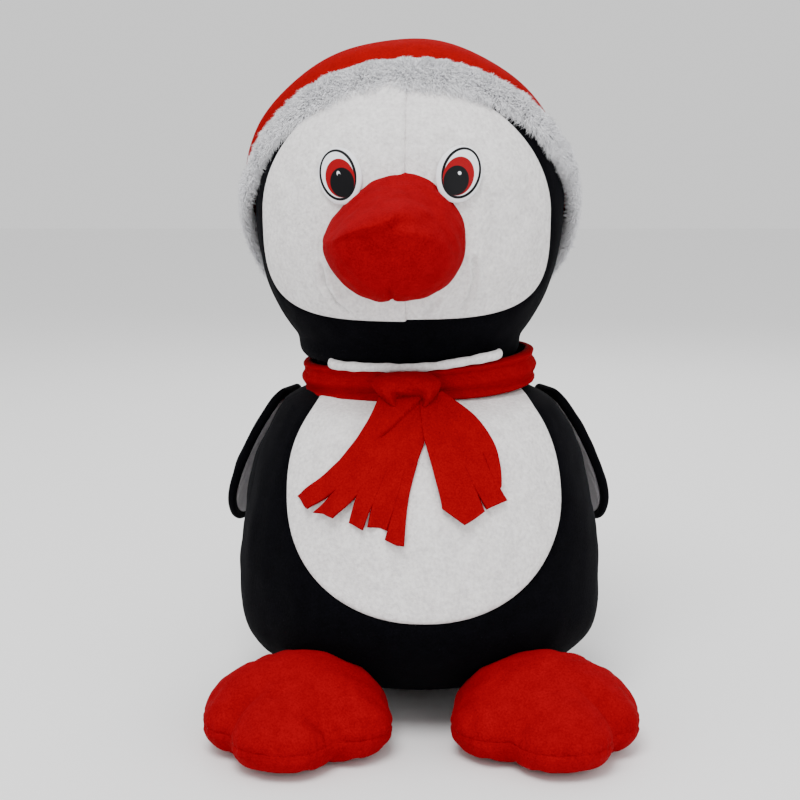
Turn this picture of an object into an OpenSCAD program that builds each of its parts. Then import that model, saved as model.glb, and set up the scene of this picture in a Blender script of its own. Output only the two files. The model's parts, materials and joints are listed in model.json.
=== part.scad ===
// Stuffed penguin, about 40 cm tall, with a fur-trimmed hat and a tied scarf.
// Millimetres. +Z is up and the face looks along -Y. The origin lies on the rest plane,
// straight below the centre of the torso's widest ring. "Left" is the -X side.

/* [Torso] */
// Radius of the torso at its widest ring
torso_r = 113; // [106:1:118]
// Height of the widest ring above the rest plane
torso_z = 62; // [58:1:64]
// Height from the widest ring to where its upper curve would close
torso_up = 165; // [160:1:172]
// Depth from the widest ring to where its lower curve would close
torso_down = 62; // [61:1:66]
// Backward lean of the torso, in degrees
torso_lean = 10; // [6:1:12]
// Radius of the base panel
base_r = 36; // [30:1:38]
// Distance of the base panel's centre behind the origin
base_y = 30; // [26:1:34]

/* [Belly panel] */
// Half width of the white belly panel
belly_w = 81; // [70:1:86]
// Height of the panel's widest line above the rest plane
belly_z = 135; // [125:1:140]
// Depth of the panel below its widest line
belly_down = 63; // [50:1:66]
// Height to which the panel's upper curve would close
belly_up = 84; // [76:1:96]
// Sideways shift of the panel
belly_x = 2.5; // [-5:0.5:5]

/* [Neck and scarf] */
// Distance of the neck's axis behind the origin
neck_y = 20; // [17:1:22]
// Radius of the neck
neck_r = 64; // [60:1:64]
// Height of the neck's top
neck_top = 204.8; // [203:0.1:204.8]
// Height of the scarf wrap's middle
scarf_z = 198; // [197:0.5:199]
// Width of the folded scarf round the neck
scarf_w = 20; // [16:1:20]
// Thickness of the scarf wrap
scarf_t = 9.5; // [8:0.5:11]
// Sideways roll of the scarf wrap, in degrees
scarf_roll = 3.2; // [0:0.2:3.4]
// Thickness of one layer of scarf felt
felt_t = 2.4; // [1.5:0.1:3]

/* [Head] */
// Radius of the head
head_r = 95; // [90:0.5:96]
// Height of the head's centre above the rest plane
head_z = 302; // [300:1:304]
// Sideways place of the head's centre
head_x = -6; // [-6:1:0]
// Height over which the head's lower curve would close
head_down = 115; // [110:1:118]
// Turn of the face about the upright axis, in degrees
face_yaw = -5; // [-10:1:10]
// Half width of the white face
face_w = 87; // [78:1:88]

/* [Beak and eyes] */
// Half height of the beak's base
beak_r = 33; // [29:1:34]
// Half width of the beak's base
beak_w = 38; // [33:1:39]
// Distance from the head's centre to the beak's tip
beak_tip = 147; // [135:1:152]
// Downward tilt of the beak, in degrees
beak_drop = 11; // [8:1:14]
// Height of an eye
eye_h = 32; // [28:1:32]
// Width of an eye
eye_w = 24; // [20:1:24]
// Sideways angle of each eye on the head, in degrees
eye_side = 21.5; // [21:0.5:25]
// Upward angle of each eye on the head, in degrees
eye_rise = 11; // [10:0.5:14]
// Outward lean of each eye's top, in degrees
eye_lean = 16; // [0:1:20]

/* [Hat] */
// Outer radius of the hat's crown
crown_r = 103; // [102:0.5:105]
// Outer radius of the fur brim
brim_r = 107.5; // [106:0.5:110]
// Width of the fur brim
brim_w = 34; // [28:1:36]
// Tilt of the hat's axis from upright towards the back, in degrees
hat_tilt = 49.2; // [44:0.2:52]
// Length of the drooping tip
tip_len = 62; // [50:1:66]
// Radius of the pompom
pompom_r = 17; // [14:1:18]

/* [Wings] */
// Length of each wing
wing_len = 100; // [84:1:104]
// Half width of each wing
wing_w = 30; // [24:1:32]
// Thickness of each wing
wing_t = 10; // [8:0.5:12]
// Angle of each wing behind the sideways direction, in degrees
wing_side = 20; // [15:1:30]
// Outward flare of each wing, in degrees
wing_flare = 24; // [18:1:26]
// Height of the shoulder seam
wing_z = 182; // [178:1:183]

/* [Feet] */
// Height of the seam between a foot's upper and its sole
foot_seam = 20; // [16:1:24]
// Radius of the toes
toe_r = 22; // [19:0.5:23]
// Radius of the heel
heel_r = 26; // [24:0.5:27]

/* [Hidden] */

$fn = 72;
// Thickness of the plush fabric with its pile
skin = 2;
// Room left between the stuffing and the fabric
ease = 0.2;
// Room left between pieces on different bodies
gap = 0.6;
// Larger than the whole toy, for cutting solids
big = 600;
// Number of rings in a turned profile, and of points along half an outline
rings = 18;
// Height of the flat shoulder under the scarf
shoulder_z = 183.4;
// Height of the head's underside
head_base = 205.2;
black = [0.03, 0.03, 0.04];
white = [0.93, 0.92, 0.90];
red = [0.72, 0.02, 0.03];
stuffing = [0.88, 0.87, 0.83];

// Radius of a rounded body of widest radius r, at height z of a curve that closes at height h
function round_r(r, z, h, power) = r * sqrt(max(0, 1 - pow(z / h, power)));

// Profile of a body that closes at -down and +up, as radius and height
function round_profile(r, up, up_power, down, down_power) = concat(
    [for (i = [0:rings]) let (a = 90 * i / rings)
        [round_r(r, down * cos(a), down, down_power), -down * cos(a)]],
    [for (i = [1:rings]) let (a = 90 * i / rings)
        [round_r(r, up * sin(a), up, up_power), up * sin(a)]]);

// Half of a super-ellipse's outline, from the bottom round the +X side to the top
function egg_side(w, up, up_power, down, down_power) = concat(
    [for (i = [0:rings]) let (a = 90 * i / rings)
        [w * pow(sin(a), 2 / down_power), -down * pow(cos(a), 2 / down_power)]],
    [for (i = [1:rings]) let (a = 90 * i / rings)
        [w * pow(cos(a), 2 / up_power), up * pow(sin(a), 2 / up_power)]]);

// Furthest reach of the torso along the unit direction n
function torso_reach(n) = let (
    c = cos(torso_lean),
    s = sin(torso_lean),
    across = norm([n[0], n[1] * c - n[2] * s]),
    along = n[1] * s + n[2] * c)
    torso_z * n[2] + max([for (i = [0:90]) let (z = torso_up * i / 90)
        z * along + round_r(torso_r, z, torso_up, 2.5) * across]);

// ---- whole forms, grown by o ----

module torso_form(o) {
    translate([0, 0, torso_z])
        rotate([-torso_lean, 0, 0])
            rotate_extrude()
                polygon(round_profile(torso_r + o, torso_up + o, 2.5, torso_down + o, 2.5));
}

module torso_and_neck(o, floor_z) {
    intersection() {
        torso_form(o);
        translate([-big / 2, -big / 2, floor_z])
            cube([big, big, shoulder_z + o - floor_z]);
    }
    translate([0, neck_y, torso_z])
        cylinder(h = neck_top + o - torso_z, r = neck_r + o);
}

module head_form(o) {
    translate([head_x, neck_y, head_z])
        intersection() {
            rotate_extrude()
                polygon(round_profile(head_r + o, head_r + o, 2, head_down + o, 2.2));
            translate([-big / 2, -big / 2, head_base - o - head_z])
                cube(big);
        }
}

// Everything in front, inside the belly panel's outline
module belly_zone() {
    side = egg_side(belly_w, belly_up, 2.2, belly_down, 2.2);
    translate([belly_x, 0, belly_z])
        rotate([90, 0, 0])
            linear_extrude(big)
                polygon(concat(side, [for (i = [len(side) - 2:-1:1]) [-side[i][0], side[i][1]]]));
}

// Everything in front, inside one half of the face's outline: side is -1 or 1
module face_zone(side) {
    translate([head_x, neck_y, head_z + 2])
        rotate([0, 0, face_yaw])
            rotate([90, 0, 0])
                linear_extrude(big)
                    polygon([for (p = egg_side(face_w, 70, 1.9, 67, 4)) [side * p[0], p[1]]]);
}

// Children stand on the head's surface: turned by side and rise, with +Z pointing outwards
module on_head(side, rise) {
    translate([head_x, neck_y, head_z])
        rotate([0, 0, face_yaw + side])
            rotate([90 - rise, 0, 0])
                children();
}

// ---- torso ----

module torso_cover() {
    color(black)
        difference() {
            torso_and_neck(0, 0);
            torso_and_neck(-skin, skin);
            belly_zone();
            translate([0, base_y, -1])
                cylinder(h = skin + 2, r = base_r);
        }
}

module belly_panel() {
    color(white)
        intersection() {
            difference() {
                torso_and_neck(0, 0);
                torso_and_neck(-skin, skin);
            }
            belly_zone();
        }
}

module base_panel() {
    color(black)
        translate([0, base_y, 0])
            cylinder(h = skin, r = base_r);
}

module torso_fill() {
    color(stuffing)
        torso_and_neck(-skin - ease, skin + ease);
}

// ---- neck and scarf ----

// Children are rolled sideways with the scarf, with the origin at the wrap's middle
module with_scarf() {
    translate([0, neck_y, scarf_z])
        rotate([0, -scarf_roll, 0])
            children();
}

module neck_trim() {
    trim_r = 3.4;
    trim_from = 214;
    trim_turn = 102;
    color(white)
        with_scarf()
            translate([0, 0, scarf_w / 2 + trim_r + 0.3])
                rotate([0, 0, trim_from])
                    rotate_extrude(angle = trim_turn)
                        translate([neck_r + 8, 0])
                            circle(trim_r);
}

module scarf_wrap() {
    inner = neck_r + 1.5;
    ridges = 3;
    ridge_r = scarf_w / ridges / 2;
    color(red)
        with_scarf()
            rotate_extrude()
                union() {
                    translate([inner, -scarf_w / 2])
                        square([scarf_t - ridge_r, scarf_w]);
                    for (i = [0:ridges - 1])
                        translate([inner + scarf_t - ridge_r, ridge_r * (2 * i + 1) - scarf_w / 2])
                            circle(ridge_r);
                }
}

knot_half = [17, 7.5, 12.5];
knot_x = -4;

module scarf_knot() {
    color(red)
        with_scarf()
            translate([knot_x, -neck_r - 1.5 - scarf_t - knot_half[1] - 0.6, 0])
                scale(knot_half)
                    sphere(1);
}

// Height of the tails' hinge line
tail_top = 182;

// Point of the torso's front line, as [y, z], at height h along its leaned axis
function front_point(h) = let (r = round_r(torso_r, h, torso_up, 2.5))
    [h * sin(torso_lean) - r * cos(torso_lean), torso_z + h * cos(torso_lean) + r * sin(torso_lean)];

// Outline of a hanging tail that is width wide at its end and cut into strips.
// It leans sideways by lean for each millimetre down.
function tail_outline(x, top_w, end_w, length, lean, strips, fringe) = concat(
    [[x, 0], [x + top_w, 0]],
    [for (i = [strips:-1:0]) let (
            s = i / strips,
            slit = 1.6,
            foot = x + lean * length + end_w * s,
            neck = x + lean * (length - fringe) + (end_w * s + top_w * s) / 2)
        each (i == strips ? [[foot, -length]]
            : i == 0 ? [[foot, -length]]
            : [[foot + slit, -length], [neck, fringe - length], [foot - slit, -length]])]);

// A tail lies on the belly's curve: its outline cut out of a strip that follows the torso's front
module tail(outline) {
    line = [for (h = [30:6:114]) front_point(h)];
    color(red)
        intersection() {
            rotate([90, 0, 90])
                linear_extrude(big, center = true)
                    polygon(concat(
                        [for (p = line) p - [2 * gap, 0]],
                        [for (i = [len(line) - 1:-1:0]) line[i] - [2 * gap + felt_t, 0]]));
            translate([0, 0, tail_top])
                rotate([90, 0, 0])
                    linear_extrude(big / 2)
                        polygon(outline);
        }
}

module scarf_tail_left() {
    tail(tail_outline(-26, 25, 58, 64, -0.66, 5, 19));
}

module scarf_tail_right() {
    tail(tail_outline(0.5, 22, 38, 56, 0.13, 3, 20));
}

// ---- ankles: the black stubs that join the feet to the torso ----

// The upright plane behind a foot, as a block that fills everything behind it
hinge_turn = 25;
hinge_z = 50;
// Distance of the feet's hinge lines from the origin
hinge_out = torso_reach([0, -1, 0]) + 1;
heel_room = 8;

module behind_foot(side, room) {
    rotate([0, 0, side * hinge_turn])
        translate([-big / 2, room - hinge_out, -big / 2])
            cube(big);
}

module ankle(side) {
    color(black)
        intersection() {
            difference() {
                translate([side * 52, -72, 3])
                    cylinder(h = 26, r = 27);
                torso_form(0);
            }
            behind_foot(side, heel_room + gap);
        }
}

module ankle_left() {
    ankle(-1);
}

module ankle_right() {
    ankle(1);
}

// ---- wings ----

// Outline of a wing hanging from the origin, smaller by o all round
function wing_outline(o) = let (
        root = 16 - o,
        w = wing_w - o,
        widest = 0.58 * wing_len,
        side = concat(
            [for (i = [0:8]) let (a = 90 * i / 8) [root + (w - root) * sin(a), -o - (widest - o) * i / 8]],
            [for (i = [1:8]) let (a = 90 * i / 8)
                [w * cos(a), -widest - (wing_len - widest - o) * sin(a)]]))
    concat(side, [for (i = [len(side) - 2:-1:0]) [-side[i][0], side[i][1]]]);

wing_dir = [cos(wing_flare) * cos(wing_side), cos(wing_flare) * sin(wing_side), sin(wing_flare)];
// Distance of the shoulder seam from the neck's axis
wing_out = (torso_reach(wing_dir) + gap - wing_z * wing_dir[2] - neck_y * wing_dir[1])
    / cos(wing_flare);

// Children lie in the wing's own frame: X outwards through its thickness, Z up along it
module on_shoulder(side) {
    translate([0, neck_y, 0])
        rotate([0, 0, side < 0 ? 180 - wing_side : wing_side])
            translate([wing_out, 0, wing_z])
                rotate([0, -wing_flare, 0])
                    children();
}

// A flat plate with the wing's outline, smaller by o, from depth x0 to x1
module wing_plate(o, x0, x1) {
    translate([x0, 0, 0])
        rotate([90, 0, 90])
            linear_extrude(x1 - x0)
                polygon(wing_outline(o));
}

module wing_outer(side) {
    color(black)
        on_shoulder(side)
            difference() {
                wing_plate(0, 0, wing_t);
                wing_plate(skin, -1, wing_t - skin);
            }
}

module wing_fill(side) {
    color(stuffing)
        on_shoulder(side)
            wing_plate(skin + ease, skin + ease, wing_t - skin - ease);
}

module wing_lining(side) {
    color(white)
        on_shoulder(side)
            wing_plate(skin + 0.02, 0, skin);
}

module wing_left_outer() {
    wing_outer(-1);
}

module wing_left_fill() {
    wing_fill(-1);
}

module wing_left_lining() {
    wing_lining(-1);
}

module wing_right_outer() {
    wing_outer(1);
}

module wing_right_fill() {
    wing_fill(1);
}

module wing_right_lining() {
    wing_lining(1);
}

// ---- feet ----

heel = [68, -88, 24];
// Toe centres: outer, middle, inner
toes = [[101, -112, 20], [81, -140, 20], [38, -115, 20]];
// How far towards the toes the thick pad of the foot reaches
pad_reach = 0.7;

module foot_form(side, o) {
    difference() {
        scale([side, 1, 1])
            union() {
                hull() {
                    translate(heel)
                        sphere(heel_r + o, $fn = 32);
                    for (t = toes)
                        translate(heel + pad_reach * (t - heel))
                            sphere(toe_r + o, $fn = 32);
                }
                for (t = toes)
                    translate(t)
                        sphere(toe_r + o);
            }
        torso_form(1.4 - o, $fn = 40);
        behind_foot(side, heel_room + o);
    }
}

// Children between two heights
module slice(z0, z1) {
    intersection() {
        children();
        translate([-big / 2, -big / 2, z0])
            cube([big, big, z1 - z0]);
    }
}

module foot_upper(side) {
    color(red)
        difference() {
            slice(foot_seam, big / 2)
                foot_form(side, 0);
            slice(foot_seam - 1, big / 2)
                foot_form(side, -skin);
        }
}

module foot_sole(side) {
    color(red)
        difference() {
            slice(0, foot_seam)
                foot_form(side, 0);
            slice(skin, foot_seam + 1)
                foot_form(side, -skin);
        }
}

module foot_fill(side) {
    color(stuffing)
        slice(skin + ease, big / 2)
            foot_form(side, -skin - ease, $fn = 28);
}

module foot_left_upper() {
    foot_upper(-1);
}

module foot_left_sole() {
    foot_sole(-1);
}

module foot_left_fill() {
    foot_fill(-1);
}

module foot_right_upper() {
    foot_upper(1);
}

module foot_right_sole() {
    foot_sole(1);
}

module foot_right_fill() {
    foot_fill(1);
}

// ---- head ----

shank_r = 2.5;

module head_shell() {
    difference() {
        head_form(0);
        head_form(-skin);
    }
}

module head_cover() {
    color(black)
        difference() {
            head_shell();
            face_zone(-1);
            face_zone(1);
        }
}

module face(side) {
    color(white)
        difference() {
            intersection() {
                head_shell();
                face_zone(side);
            }
            on_head(side * eye_side, eye_rise)
                cylinder(h = big, r = shank_r + 0.3);
        }
}

module face_left() {
    face(-1);
}

module face_right() {
    face(1);
}

washer_r = 9;
washer_t = 1.6;
// Distance of the washer's front from the head's centre
washer_out = head_r - skin - 0.6;
shank_end = head_r - 14;

module head_fill() {
    color(stuffing)
        difference() {
            head_form(-skin - ease);
            for (side = [-1, 1])
                on_head(side * eye_side, eye_rise) {
                    translate([0, 0, washer_out - washer_t - 0.3])
                        cylinder(h = big, r = washer_r + 0.4);
                    translate([0, 0, shank_end - 0.5])
                        cylinder(h = big, r = shank_r + 0.3);
                }
        }
}

// ---- beak ----

beak_root = 78;

// The beak's solid, grown by o and cut off where it stands room off the head
module beak_form(o, room) {
    length = beak_tip + o - beak_root;
    steps = 8;
    difference() {
        on_head(0, -beak_drop)
            hull()
                for (i = [0:steps - 1]) {
                    a = 90 * i / steps;
                    translate([0, 0, beak_root + length * sin(a)])
                        scale([beak_w / beak_r, 1, 1])
                            cylinder(h = 0.5, r = (beak_r + o) * pow(cos(a), 0.85), $fn = 40);
                }
        head_form(room);
    }
}

module beak_cover() {
    color(red)
        difference() {
            beak_form(0, 0.1);
            beak_form(-skin, -skin);
        }
}

module beak_fill() {
    color(stuffing)
        beak_form(-skin - ease, 0.3);
}

// ---- eyes: a domed disc with a shank, held by a washer behind the face ----

module eye(side) {
    rim = 2;
    dome = 3;
    color(white)
        on_head(side * eye_side, eye_rise) {
            translate([0, 0, head_r + 0.15])
                rotate([0, 0, -side * eye_lean])
                    hull()
                        for (a = [0, 0.01, 25, 50, 70])
                            translate([0, 0, a == 0 ? 0 : rim + dome * sin(a)])
                                scale([eye_w / eye_h, 1, 1])
                                    cylinder(h = 0.2, r = eye_h / 2 * cos(a), $fn = 40);
            translate([0, 0, shank_end])
                cylinder(h = head_r + 1 - shank_end, r = shank_r);
        }
}

module eye_left() {
    eye(-1);
}

module eye_right() {
    eye(1);
}

module washer(side) {
    color("gray")
        on_head(side * eye_side, eye_rise)
            translate([0, 0, washer_out - washer_t])
                difference() {
                    cylinder(h = washer_t, r = washer_r);
                    translate([0, 0, -1])
                        cylinder(h = washer_t + 2, r = shank_r + 0.03);
                }
}

module washer_left() {
    washer(-1);
}

module washer_right() {
    washer(1);
}

// ---- hat ----

hat_centre = [head_x, neck_y + 7, head_z - 4];
crown_t = 2.5;
// The brim's lower edge stays above the scarf
brim_floor = 214;

// Children lie in the hat's own frame: +Z along the hat's axis, up and backwards
module with_hat() {
    translate(hat_centre)
        rotate([-hat_tilt, 0, 0])
            children();
}

module hat_crown() {
    color(red)
        difference() {
            with_hat()
                difference() {
                    sphere(crown_r);
                    sphere(crown_r - crown_t);
                    translate([-big / 2, -big / 2, -big])
                        cube([big, big, big]);
                }
            head_form(0.4);
        }
}

module hat_brim() {
    color(white)
        difference() {
            with_hat()
                difference() {
                    intersection() {
                        sphere(brim_r);
                        translate([0, 0, -brim_w / 2])
                            cylinder(h = brim_w, r = brim_r + 5);
                    }
                    intersection() {
                        sphere(crown_r + 0.3);
                        translate([-big / 2, -big / 2, -0.1])
                            cube(big);
                    }
                }
            head_form(0.5);
            translate([-big / 2, -big / 2, brim_floor - big])
                cube(big);
        }
}

// The tip hangs from a fold at this angle above the hat's centre
tip_rise = 14;
tip_t = 8;
tip_top = hat_centre + (crown_r + tip_t + gap) * [0, cos(tip_rise), sin(tip_rise)];
tip_down = [-0.12, sin(tip_rise), -cos(tip_rise)];
tip_end = tip_top + tip_len * tip_down;

module hat_tip() {
    color(red)
        hull()
            for (p = [tip_top - [16, 0, 0], tip_top + [16, 0, 0], tip_end])
                translate(p)
                    sphere(tip_t, $fn = 32);
}

module hat_pompom() {
    color(white)
        difference() {
            translate(tip_end + (pompom_r + 2) * tip_down)
                sphere(pompom_r);
            translate(tip_end)
                sphere(tip_t + 0.1);
        }
}

torso_cover();
belly_panel();
base_panel();
torso_fill();
neck_trim();
scarf_wrap();
scarf_knot();
ankle_left();
ankle_right();
scarf_tail_left();
scarf_tail_right();
wing_left_outer();
wing_left_fill();
wing_left_lining();
wing_right_outer();
wing_right_fill();
wing_right_lining();
foot_left_upper();
foot_left_sole();
foot_left_fill();
foot_right_upper();
foot_right_sole();
foot_right_fill();
head_cover();
face_left();
face_right();
head_fill();
beak_cover();
beak_fill();
eye_left();
eye_right();
washer_left();
washer_right();
hat_crown();
hat_brim();
hat_tip();
hat_pompom();
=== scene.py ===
"""Looks for the stuffed penguin: fabric, fur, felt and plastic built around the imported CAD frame.

Shapes are worked out in millimetres and written to the meshes in metres.
"Left" is the -X side; the face looks along -Y.
"""
import json
import math
import bpy
import numpy as np
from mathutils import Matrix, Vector


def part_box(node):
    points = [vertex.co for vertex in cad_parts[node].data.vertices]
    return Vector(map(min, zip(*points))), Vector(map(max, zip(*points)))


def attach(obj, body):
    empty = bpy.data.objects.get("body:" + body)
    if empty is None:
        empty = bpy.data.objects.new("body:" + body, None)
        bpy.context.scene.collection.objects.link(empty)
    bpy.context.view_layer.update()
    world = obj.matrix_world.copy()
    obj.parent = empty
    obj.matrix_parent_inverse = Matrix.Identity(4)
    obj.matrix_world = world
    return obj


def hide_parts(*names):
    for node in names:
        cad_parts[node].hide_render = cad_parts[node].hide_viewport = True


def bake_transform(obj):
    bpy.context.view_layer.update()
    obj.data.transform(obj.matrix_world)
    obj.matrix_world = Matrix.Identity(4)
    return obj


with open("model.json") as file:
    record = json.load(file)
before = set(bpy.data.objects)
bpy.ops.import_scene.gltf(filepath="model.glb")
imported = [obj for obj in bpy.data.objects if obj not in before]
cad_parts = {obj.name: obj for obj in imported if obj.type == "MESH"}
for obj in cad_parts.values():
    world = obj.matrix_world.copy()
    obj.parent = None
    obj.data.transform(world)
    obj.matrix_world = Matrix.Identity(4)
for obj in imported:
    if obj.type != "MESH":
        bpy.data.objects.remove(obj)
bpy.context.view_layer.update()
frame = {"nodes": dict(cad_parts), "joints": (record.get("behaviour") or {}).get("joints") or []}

MM = 0.001


SIDES = {-1: "left", 1: "right"}


# ---------------------------------------------------------------- sizes, from the frame

def joint_mm(body):
    """Where the joint that carries body lies."""
    joint = [joint for joint in frame["joints"] if joint["child"] == body][0]
    return np.array(joint["pos_m"]) / MM


def box_mm(node):
    low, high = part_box(node)
    return np.array(low) / MM, np.array(high) / MM


torso_low, torso_high = box_mm("torso_cover")
head_low, head_high = box_mm("head_cover")
band_low, band_high = box_mm("scarf_wrap")
knot_low, _ = box_mm("scarf_knot")
crown_low, crown_high = box_mm("hat_crown")
tip_low, tip_high = box_mm("hat_tip")
pom_low, pom_high = box_mm("hat_pompom")
base_low, base_high = box_mm("base_panel")

TORSO_R = (torso_high[0] - torso_low[0]) / 2
TORSO_Z = 62.0             # height of the torso's widest ring
TORSO_UP = 165.0           # where its upper curve would close
TORSO_LEAN = math.radians(10)
NECK_Y = (band_low[1] + band_high[1]) / 2
NECK_R = 65.0
NECK_TOP = torso_high[2] - 0.3
BASE_Y = (base_low[1] + base_high[1]) / 2

HEAD_R = (head_high[0] - head_low[0]) / 2
HEAD = np.array([(head_low[0] + head_high[0]) / 2, NECK_Y, head_high[2] - HEAD_R])
HEAD_DOWN = 115.0          # where the head's lower curve would close
HEAD_BASE = head_low[2]
FACE_YAW = math.radians(-2.4)
BEAK_YAW = math.radians(-5)

HAT = HEAD + np.array([0, 7.0, -4.0])
HAT_TILT = math.radians(49.2)
CROWN_R = (crown_high[0] - crown_low[0]) / 2


# ---------------------------------------------------------------- camera, light, floor

def make_camera():
    bpy.ops.object.camera_add(
        location=(-0.012, -0.900, 0.330), rotation=(math.radians(80.6), 0, 0))
    camera = bpy.context.object
    camera.name = "view"
    camera.data.lens = 66.06
    camera.data.sensor_width = 36
    bpy.context.scene.camera = camera


def soft_light(name, place, target, size, power):
    bpy.ops.object.light_add(type="AREA", location=place)
    lamp = bpy.context.object
    lamp.name = name
    lamp.data.shape = "DISK"
    lamp.data.size = size
    lamp.data.energy = power
    lamp.rotation_euler = (Vector(target) - Vector(place)).to_track_quat("-Z", "Y").to_euler()


def make_studio():
    middle = (0, 0, 0.2)
    soft_light("key_light", (-0.25, -0.75, 1.60), middle, 0.9, 24)
    soft_light("fill_light", (0.9, -1.3, 0.6), middle, 1.2, 5)
    soft_light("rim_light", (0.2, 1.2, 1.2), middle, 1.2, 8)
    world = bpy.data.worlds.new("studio")
    bpy.context.scene.world = world
    world.use_nodes = True
    world.node_tree.nodes["Background"].inputs["Color"].default_value = (1, 1, 1, 1)
    world.node_tree.nodes["Background"].inputs["Strength"].default_value = 1.0
    bpy.ops.mesh.primitive_plane_add(size=12, location=(0, 0, -0.0005))
    floor = bpy.context.object
    floor.name = "floor"
    material = bpy.data.materials.new("pale_floor")
    material.use_nodes = True
    shader = material.node_tree.nodes["Principled BSDF"]
    shader.inputs["Base Color"].default_value = (0.93, 0.93, 0.93, 1)
    shader.inputs["Roughness"].default_value = 0.9
    floor.data.materials.append(material)


# ---------------------------------------------------------------- materials

def link(tree, a, out, b, into):
    tree.links.new(a.outputs[out], b.inputs[into])


def grain(tree, where, scale, detail=3.0, roughness=0.6):
    node = tree.nodes.new("ShaderNodeTexNoise")
    node.inputs["Scale"].default_value = scale
    node.inputs["Detail"].default_value = detail
    node.inputs["Roughness"].default_value = roughness
    link(tree, where, "Object", node, "Vector")
    return node


def fabric(name, dark, light, grain_mm, bump_mm, sheen=0.3, sheen_tint=(1, 1, 1), roughness=0.85,
           cloud=0.35, nap_mm=9.0, specular=0.12):
    """Brushed or piled cloth: two close colours mottled by pile and nap, a bump and a sheen."""
    material = bpy.data.materials.new(name)
    material.use_nodes = True
    tree = material.node_tree
    shader = tree.nodes["Principled BSDF"]
    where = tree.nodes.new("ShaderNodeTexCoord")
    fine = grain(tree, where, 1000 / grain_mm)
    broad = grain(tree, where, 1000 / nap_mm, 4.0)
    blend = tree.nodes.new("ShaderNodeMix")
    blend.data_type = "FLOAT"
    blend.inputs["Factor"].default_value = cloud
    link(tree, fine, "Fac", blend, 2)
    link(tree, broad, "Fac", blend, 3)
    ramp = tree.nodes.new("ShaderNodeValToRGB")
    ramp.color_ramp.elements[0].position = 0.32
    ramp.color_ramp.elements[1].position = 0.66
    ramp.color_ramp.elements[0].color = (*dark, 1)
    ramp.color_ramp.elements[1].color = (*light, 1)
    link(tree, blend, 0, ramp, "Fac")
    link(tree, ramp, "Color", shader, "Base Color")
    bump = tree.nodes.new("ShaderNodeBump")
    bump.inputs["Strength"].default_value = 1.0
    bump.inputs["Distance"].default_value = bump_mm * MM
    link(tree, blend, 0, bump, "Height")
    link(tree, bump, "Normal", shader, "Normal")
    shader.inputs["Roughness"].default_value = roughness
    shader.inputs["Specular IOR Level"].default_value = specular
    shader.inputs["Sheen Weight"].default_value = sheen
    shader.inputs["Sheen Roughness"].default_value = 0.45
    shader.inputs["Sheen Tint"].default_value = (*sheen_tint, 1)
    return material


def plastic(name, colour, roughness, coat=0.0):
    material = bpy.data.materials.new(name)
    material.use_nodes = True
    tree = material.node_tree
    shader = tree.nodes["Principled BSDF"]
    where = tree.nodes.new("ShaderNodeTexCoord")
    mottle = grain(tree, where, 300, 2.0)
    ramp = tree.nodes.new("ShaderNodeValToRGB")
    ramp.color_ramp.elements[0].color = (*[0.96 * c for c in colour], 1)
    ramp.color_ramp.elements[1].color = (*colour, 1)
    link(tree, mottle, "Fac", ramp, "Fac")
    link(tree, ramp, "Color", shader, "Base Color")
    shader.inputs["Roughness"].default_value = roughness
    shader.inputs["Coat Weight"].default_value = coat
    shader.inputs["Coat Roughness"].default_value = 0.04
    return material


BLACK = fabric("black_plush", (0.0004, 0.0004, 0.0007), (0.0024, 0.0023, 0.0036), 1.2, 0.7,
               sheen=0.005, sheen_tint=(0.75, 0.8, 1.0), roughness=0.9, specular=0.03)
WHITE = fabric("white_fleece", (0.60, 0.575, 0.575), (0.88, 0.86, 0.85), 2.2, 1.1, sheen=0.12)
RED_FLEECE = fabric("red_fleece", (0.19, 0.0, 0.003), (0.29, 0.0, 0.005), 1.1, 0.55,
                    sheen=0.04, sheen_tint=(1, 0.1, 0.1), specular=0.02)
FELT = fabric("scarf_felt", (0.19, 0.0, 0.003), (0.28, 0.0, 0.004), 1.0, 0.45,
              sheen=0.03, sheen_tint=(1, 0.1, 0.1), roughness=0.95, specular=0.02)
HAT_RED = fabric("hat_fleece", (0.21, 0.0, 0.001), (0.31, 0.0, 0.003), 1.2, 0.6,
                 sheen=0.0, sheen_tint=(1, 0.2, 0.2), specular=0.01)
FUR = fabric("white_fur", (0.90, 0.90, 0.93), (0.98, 0.98, 1.0), 2.5, 0.15, sheen=0.25,
             roughness=0.7)
# the fur's backing is coloured grey as painted shade, standing in for the shade deep between the
# white strands
FUR_BACKING_PAINTED_SHADE = fabric("fur_backing_painted_shade", (0.50, 0.50, 0.53), (0.66, 0.66, 0.69), 2.0, 0.4, sheen=0.1)
FIBRE = fabric("fibre_filling", (0.62, 0.61, 0.57), (0.82, 0.81, 0.77), 3.0, 1.0, sheen=0.1)
WASHER = plastic("washer_plastic", (0.6, 0.6, 0.6), 0.5)
LINING = fabric("wing_lining_fleece", (0.46, 0.44, 0.46), (0.60, 0.58, 0.60), 0.9, 0.35, sheen=0.1)
THREAD = fabric("sewing_thread", (0.22, 0.21, 0.20), (0.34, 0.32, 0.31), 0.4, 0.1)


# ---------------------------------------------------------------- mesh tools

def only(obj):
    """Nothing but obj is selected, and it is active."""
    if bpy.context.object and bpy.context.object.mode != "OBJECT":
        bpy.ops.object.mode_set(mode="OBJECT")
    bpy.ops.object.select_all(action="DESELECT")
    obj.select_set(True)
    bpy.context.view_layer.objects.active = obj


def start(name):
    """Names the primitive that was just added and leaves it alone selected."""
    obj = bpy.context.object
    obj.name = name
    only(obj)
    return obj


def read(obj):
    co = np.empty(len(obj.data.vertices) * 3)
    obj.data.vertices.foreach_get("co", co)
    return co.reshape(-1, 3) / MM


def write(obj, co):
    obj.data.vertices.foreach_set("co", (np.asarray(co) * MM).ravel())
    obj.data.update()


def apply_all(obj):
    only(obj)
    for modifier in list(obj.modifiers):
        bpy.ops.object.modifier_apply(modifier=modifier.name)


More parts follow.
